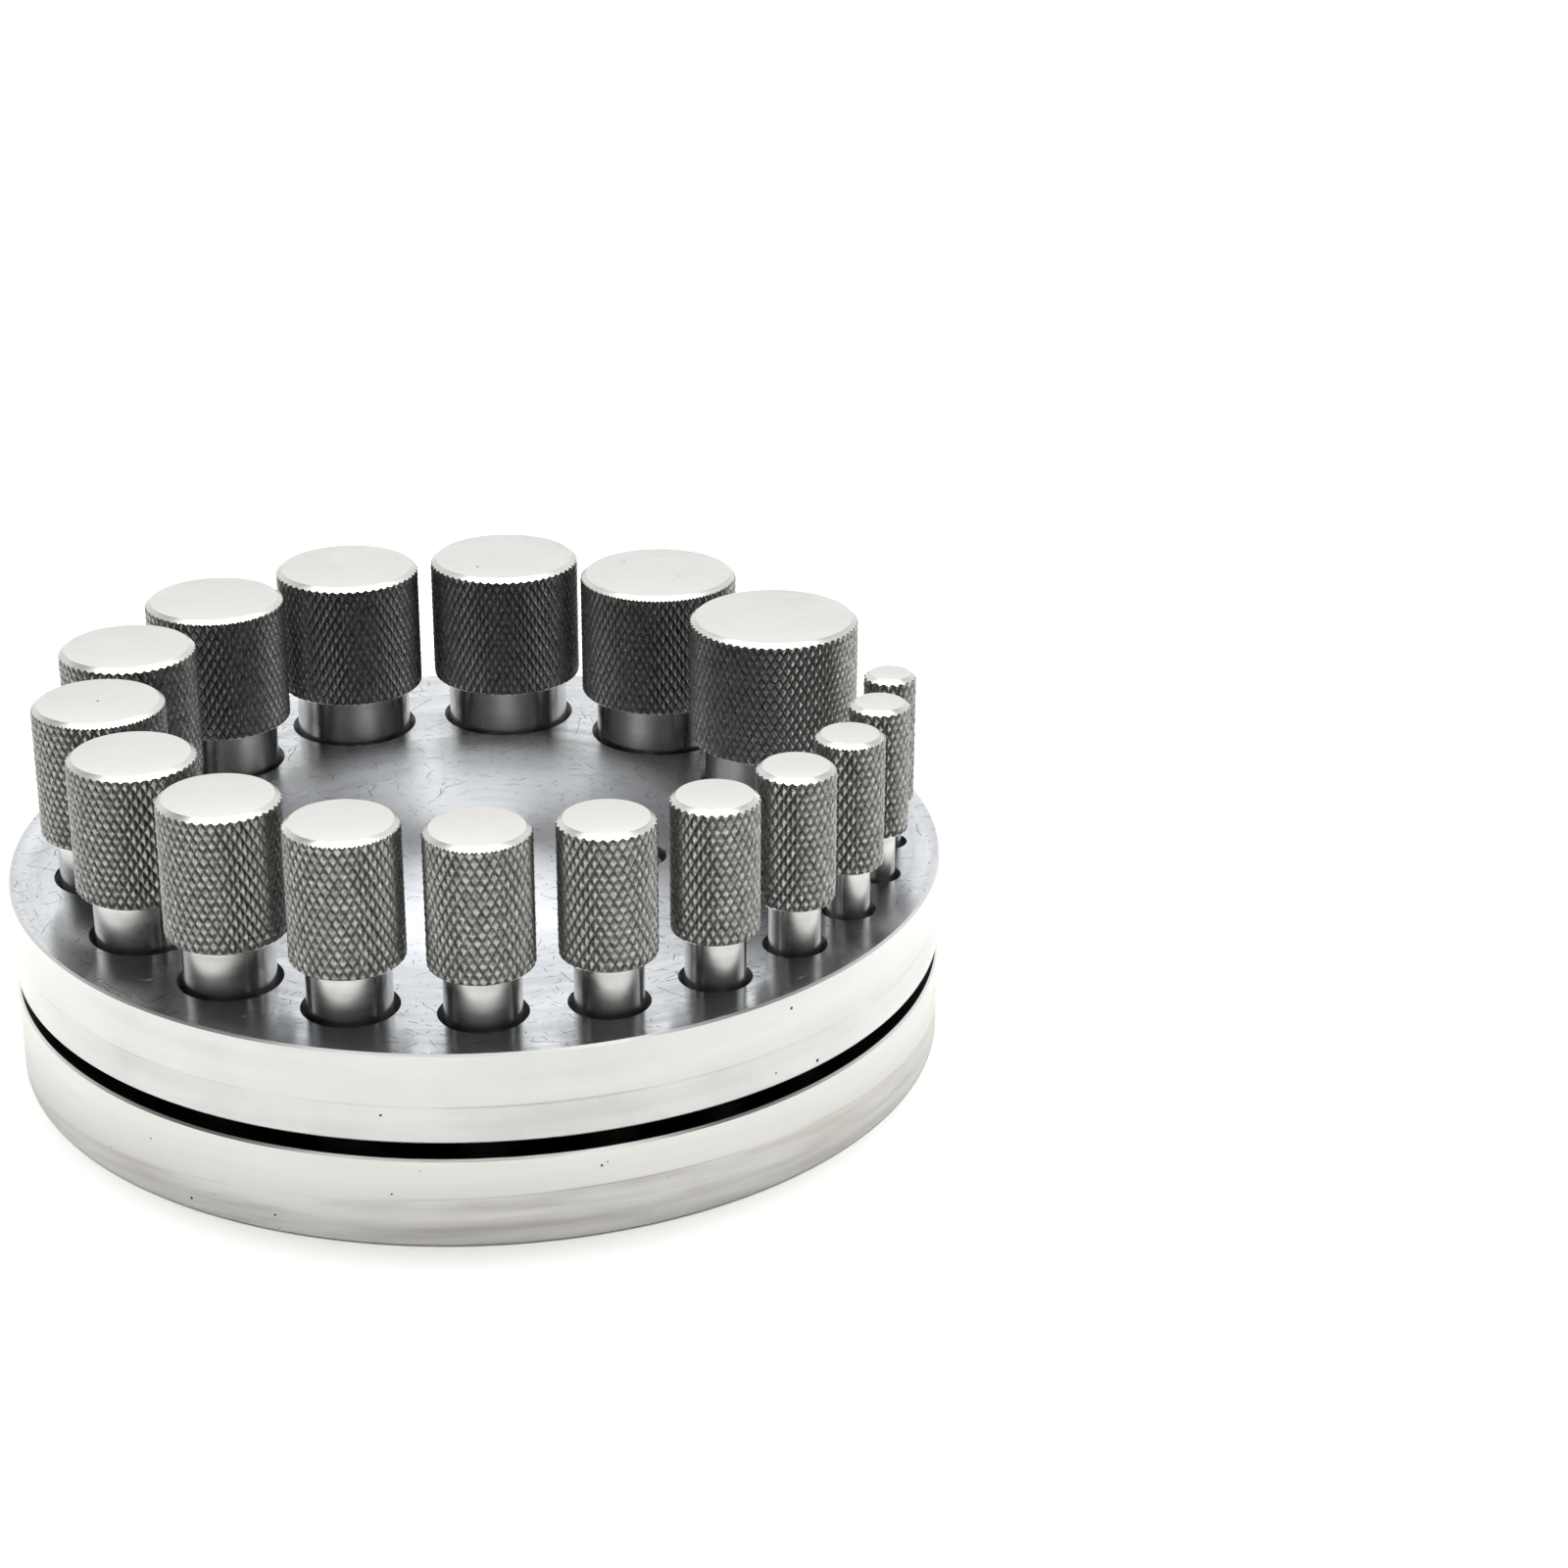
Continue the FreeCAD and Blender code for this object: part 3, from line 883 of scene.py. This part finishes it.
@dataclass
class PlateStack:
    """The fixed stack: the guide plate, the die plate and the spacer between them."""

    stations: Sequence[Station]
    bore_clearance: float = 0.05 * MM
    mouth_chamfer: float = 0.8 * MM
    edge_break: float = 0.3 * MM
    fine_edge: float = 0.15 * MM
    pin_places: Sequence[Vector] = field(default_factory=list)
    pin_hole_radius: float = 4.02 * MM
    screw_hole_radius: float = 3.3 * MM
    thread_hole_radius: float = 3.02 * MM
    counterbore_radius: float = 5.25 * MM
    counterbore_depth: float = 7.0 * MM
    spare: float = 1.0 * MM
    rim_segments: int = 360
    spacer_segments: int = 192
    counterbore_segments: int = 96
    hole_segments: int = 48
    hole_eighths: float = 1.4

    def drill(self, radius: float, place: Vector, low: float, high: float, mouth: float = 0.0) -> Piece:
        """Make the solid that a hole takes away, open to a countersunk mouth at the top.

        Args:
            radius: The hole's radius.
            place: A point of its axis.
            low: The face that it leaves by.
            high: The face that it starts from.
            mouth: The width of its countersink.

        Returns:
            The cutting solid.
        """
        # Wide holes get more sides, a whole number of them to each eighth of a turn
        segments = max(self.hole_segments, 8 * round(radius / MM * self.hole_eighths))
        opening = radius + mouth + self.spare if mouth else radius
        profile = [(radius, low - self.spare), (radius, high - mouth), (opening, high + self.spare)]
        return make_turned("drill", place, profile, segments)

    def drill_all(
        self, middle: float, low: float, high: float, mouth: float = 0.0, pin_mouth: float = 0.0
    ) -> Piece:
        """Drill every punch's hole, both pins' holes and, if it has a radius, the one in the middle.

        Args:
            middle: The radius of the hole in the middle, or 0.
            low: The lower face.
            high: The upper face.
            mouth: The width of a punch hole's countersink.
            pin_mouth: The width of a pin hole's.

        Returns:
            The cutting solids, in one object.
        """
        drills = [
            self.drill(spot.nominal / 2 + self.bore_clearance, spot.centre, low, high, mouth)
            for spot in self.stations
        ]
        drills += [self.drill(self.pin_hole_radius, pin, low, high, pin_mouth) for pin in self.pin_places]
        if middle:
            drills.append(self.drill(middle, CENTRE, low, high))
        return join(drills)

    def make_blank(self, name: str, node: str) -> tuple[Piece, float, float]:
        """Turn a plate's disc, with its broken edges.

        Args:
            name: The plate's name.
            node: Its CAD node.

        Returns:
            The disc, and the heights of its lower and upper faces.
        """
        low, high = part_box(node)
        profile = disc_profile((high.x - low.x) / 2, low.z, high.z, self.edge_break)
        return make_turned(name, CENTRE, profile, self.rim_segments), low.z, high.z

    def finish(
        self, piece: Piece, finisher: Finisher, node: str, rim: Finish, slot_face: float
    ) -> Piece:
        """Dress a plate and put it in place of its CAD node.

        Args:
            piece: The plate.
            finisher: Lays the finishes.
            node: The CAD node that it stands for.
            rim: The finish of its rim.
            slot_face: The height of the face that it turns to the slot.

        Returns:
            The finished piece.
        """
        low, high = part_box(node)
        radius = (high.x - low.x) / 2

        def choose(face: bpy.types.MeshPolygon) -> int:
            """Choose a face's finish.

            Args:
                face: The face.

            Returns:
                0 for the outer face, 1 for the rim, 2 for bores, mouths and the face to the slot.
            """
            # The bores, their mouths and the face to the slot take the dark bore finish: painted shade in
            # these recesses.
            if abs(face.normal.z) > LEVEL:
                return 2 if abs(face.center.z - slot_face) < self.edge_break else 0
            near_rim = math.hypot(face.center.x, face.center.y) > radius - self.edge_break
            return 1 if near_rim else 2

        finisher.dress(piece, CENTRE, [Finish.PLATE_FACE, rim, Finish.BORE], choose)
        smooth(piece)
        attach(piece, "stack")
        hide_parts(node)
        return piece

    def build_guide_plate(self, finisher: Finisher) -> Piece:
        """Model the upper plate: countersunk bores, pin holes and the screw's counterbore.

        Args:
            finisher: Lays the finishes.

        Returns:
            The finished plate.
        """
        piece, low, high = self.make_blank("guide_plate_turned", "guide_plate")
        combine(piece, self.drill_all(0.0, low, high, self.mouth_chamfer, self.edge_break), "DIFFERENCE")
        seat = high - self.counterbore_depth
        profile = [
            (self.screw_hole_radius, low - self.spare),
            (self.screw_hole_radius, seat),
            (self.counterbore_radius, seat),
            (self.counterbore_radius, high - self.fine_edge),
            (self.counterbore_radius + self.fine_edge + self.spare, high + self.spare),
        ]
        combine(piece, make_turned("counterbore", CENTRE, profile, self.counterbore_segments), "DIFFERENCE")
        return self.finish(piece, finisher, "guide_plate", Finish.PLATE_RIM, low)

    def build_die_plate(self, finisher: Finisher) -> Piece:
        """Model the lower plate: sharp holes that cut, pin holes and the screw's threaded hole.

        Args:
            finisher: Lays the finishes.

        Returns:
            The finished plate.
        """
        piece, low, high = self.make_blank("die_plate_turned", "die_plate")
        combine(piece, self.drill_all(self.thread_hole_radius, low, high), "DIFFERENCE")
        return self.finish(piece, finisher, "die_plate", Finish.LOWER_RIM, high)

    def build_spacer(self, finisher: Finisher) -> Piece:
        """Model the disc that keeps the plates apart.

        Args:
            finisher: Lays the finishes.

        Returns:
            The finished disc.
        """
        low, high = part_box("spacer")
        profile = disc_profile((high.x - low.x) / 2, low.z, high.z, self.fine_edge)
        piece = make_turned("spacer_turned", CENTRE, profile, self.spacer_segments)
        drills = [self.drill(self.pin_hole_radius, pin, low.z, high.z) for pin in self.pin_places]
        drills.append(self.drill(self.screw_hole_radius, CENTRE, low.z, high.z))
        combine(piece, join(drills), "DIFFERENCE")
        kinds = [Finish.PLATE_FACE, Finish.PLATE_RIM]
        finisher.dress(piece, CENTRE, kinds, lambda face: 0 if abs(face.normal.z) > LEVEL else 1)
        smooth(piece)
        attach(piece, "stack")
        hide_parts("spacer")
        return piece

    def build(self, finisher: Finisher) -> list[Piece]:
        """Model the three fixed discs."""
        return [self.build_guide_plate(finisher), self.build_die_plate(finisher), self.build_spacer(finisher)]


@dataclass
class Fasteners:
    """What holds the stack together: a socket head screw at the centre and two dowel pins."""

    pin_nodes: Sequence[str] = ("dowel_pin_right", "dowel_pin_left")
    pin_chamfer: float = 0.45 * MM
    screw_head_height: float = 6.0 * MM
    screw_shank_radius: float = 3.0 * MM
    socket_across: float = 5.0 * MM
    socket_depth: float = 3.0 * MM
    head_chamfer: float = 0.5 * MM
    socket_turn: float = math.radians(15)
    spare: float = 1.0 * MM
    pin_segments: int = 64
    screw_segments: int = 96

    def pin_places(self) -> list[Vector]:
        """Give the axis of each dowel pin."""
        return [axis_of(node) for node in self.pin_nodes]

    def build_pin(self, node: str, finisher: Finisher) -> Piece:
        """Model one ground pin, whose ends are eased in two steps.

        Args:
            node: The pin's CAD node.
            finisher: Lays the finishes.

        Returns:
            The finished pin.
        """
        low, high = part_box(node)
        axis = axis_of(node)
        radius, ease = (high.x - low.x) / 2, self.pin_chamfer
        profile = [
            (radius - ease, low.z),
            (radius - 0.2 * ease, low.z + 0.5 * ease),
            (radius, low.z + ease),
            (radius, high.z - ease),
            (radius - 0.2 * ease, high.z - 0.5 * ease),
            (radius - ease, high.z),
        ]
        piece = make_turned(f"{node}_ground", axis, profile, self.pin_segments)
        finisher.dress(piece, axis, [Finish.DOWEL_GROUND], lambda face: 0)
        smooth(piece)
        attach(piece, "stack")
        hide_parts(node)
        return piece

    def build_screw(self, finisher: Finisher) -> Piece:
        """Model the socket head screw, whose head's edge is eased in two steps.

        Args:
            finisher: Lays the finishes.

        Returns:
            The finished screw.
        """
        low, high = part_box("centre_screw")
        head = (high.x - low.x) / 2
        seat = high.z - self.screw_head_height
        shank, ease = self.screw_shank_radius, self.head_chamfer
        profile = [
            (shank - ease, low.z),
            (shank, low.z + ease),
            (shank, seat),
            (head, seat),
            (head, high.z - ease),
            (head - 0.2 * ease, high.z - 0.25 * ease),
            (head - 0.7 * ease, high.z),
        ]
        piece = make_turned("centre_screw_blackened", CENTRE, profile, self.screw_segments)
        corner = self.socket_across / math.sqrt(3)
        hexagon = [(corner, high.z - self.socket_depth), (corner, high.z + self.spare)]
        combine(piece, make_turned("socket", CENTRE, hexagon, 6, self.socket_turn), "DIFFERENCE")
        finisher.dress(piece, CENTRE, [Finish.BLACK_OXIDE], lambda face: 0)
        smooth(piece)
        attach(piece, "stack")
        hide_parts("centre_screw")
        return piece

    def build(self, finisher: Finisher) -> list[Piece]:
        """Model the screw and the pins."""
        return [self.build_screw(finisher)] + [self.build_pin(node, finisher) for node in self.pin_nodes]


@dataclass
class Studio:
    """The pale floor, the soft light and the camera, which stands as the photograph's did."""

    floor_size: float = 2.2
    floor_colour: str = "#f4f4f2"
    floor_glow: float = 0.22
    camera_place: tuple[float, float, float] = (0.042957, -0.404953, 0.208783)
    camera_pitch: float = 23.12
    camera_roll: float = 0.371
    camera_lens: float = 72.06
    camera_range: tuple[float, float] = (0.01, 50.0)
    sensor: float = 36.0
    room_colour: tuple[float, float, float, float] = (0.8, 0.8, 0.8, 1.0)
    room_light: tuple[float, float] = (0.04, 1.35)
    room_depth: tuple[float, float] = (-0.15, 0.6)
    backdrop_light: float = 1.25
    softbox_place: tuple[float, float, float] = (0.0, 0.15, 1.3)
    softbox_size: float = 1.4
    softbox_power: float = 29.0

    def build_camera(self) -> None:
        """Place the camera by its height, its pitch below the horizon and its slight roll."""
        data = bpy.data.cameras.new("camera")
        data.lens = self.camera_lens
        data.sensor_width = self.sensor
        data.clip_start, data.clip_end = self.camera_range
        camera = bpy.data.objects.new("camera", data)
        bpy.context.scene.collection.objects.link(camera)
        tilt = Euler((math.radians(90 - self.camera_pitch), 0, 0)).to_matrix()
        roll = Euler((0, 0, math.radians(self.camera_roll))).to_matrix()
        camera.matrix_world = (tilt @ roll).to_4x4()
        camera.location = self.camera_place
        bpy.context.scene.camera = camera

    def build_floor(self) -> None:
        """Lay a plain floor of matt white paper."""
        deselect_all()
        bpy.ops.mesh.primitive_plane_add(size=self.floor_size)
        floor = bpy.context.object
        floor.name = "floor"
        material = bpy.data.materials.new("floor_white_paper")
        material.use_nodes = True
        tree = material.node_tree
        shader = tree.nodes["Principled BSDF"]
        paper = {
            "Base Color": linear(self.floor_colour),
            "Roughness": 0.9,
            "Specular IOR Level": 0.1,
            "Emission Color": linear(self.floor_colour),
        }
        for name, value in paper.items():
            shader.inputs[name].default_value = value
        path = add_node(tree, "ShaderNodeLightPath")
        glow = add_node(tree, "ShaderNodeMath", operation="MULTIPLY", inputs={
            0: path.outputs["Is Camera Ray"], 1: self.floor_glow,
        })
        tree.links.new(glow.outputs[0], shader.inputs["Emission Strength"])
        floor.data.materials.append(material)

    def build_world(self) -> None:
        """Light the room: bright behind the tool, dim on the camera's side, white to the camera itself."""
        world = bpy.data.worlds.new("studio")
        bpy.context.scene.world = world
        world.use_nodes = True
        tree = world.node_tree
        tree.nodes.clear()
        direction = add_node(tree, "ShaderNodeTexCoord")
        split = add_node(tree, "ShaderNodeSeparateXYZ", inputs={0: direction.outputs["Generated"]})
        away = add_node(tree, "ShaderNodeMapRange", interpolation_type="SMOOTHSTEP", inputs={
            0: split.outputs[1],
            1: self.room_depth[0],
            2: self.room_depth[1],
            3: self.room_light[0],
            4: self.room_light[1],
        })
        path = add_node(tree, "ShaderNodeLightPath")
        strength = add_node(tree, "ShaderNodeMix", data_type="FLOAT", inputs={
            0: path.outputs["Is Camera Ray"], 2: away.outputs[0], 3: self.backdrop_light,
        })
        light = add_node(tree, "ShaderNodeBackground", inputs={
            "Color": self.room_colour, "Strength": strength.outputs[0],
        })
        add_node(tree, "ShaderNodeOutputWorld", inputs={"Surface": light.outputs[0]})

    def build_softbox(self) -> None:
        """Hang a square soft light above the tool, facing it."""
        data = bpy.data.lights.new("softbox_above", "AREA")
        data.shape = "RECTANGLE"
        data.size, data.size_y = self.softbox_size, self.softbox_size
        data.energy = self.softbox_power
        light = bpy.data.objects.new("softbox_above", data)
        light.location = self.softbox_place
        light.rotation_euler = (-Vector(self.softbox_place)).to_track_quat("-Z", "Y").to_euler()
        bpy.context.scene.collection.objects.link(light)

    def build(self) -> None:
        """Set up the whole studio."""
        self.build_floor()
        self.build_camera()
        self.build_world()
        self.build_softbox()
        bpy.context.scene.view_settings.view_transform = "Standard"


def main() -> None:
    """Build the tool's sub-assemblies in order, then the studio round it."""
    logging.basicConfig(level=logging.INFO, format="%(message)s")
    finisher = Finisher()
    stations = [Station.read(node) for node in sorted(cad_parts) if node.startswith("punch_")]
    fasteners = Fasteners()
    pieces = PlateStack(stations, pin_places=fasteners.pin_places()).build(finisher)
    pieces += fasteners.build(finisher)
    chance = random.Random(SEED)
    for station in stations:
        pieces.append(Punch(station).build(finisher, chance))
    for piece in pieces:
        log.info("%s: %d faces", piece.name, len(piece.data.polygons))
    Studio().build()


if __name__ == "__main__":
    main()
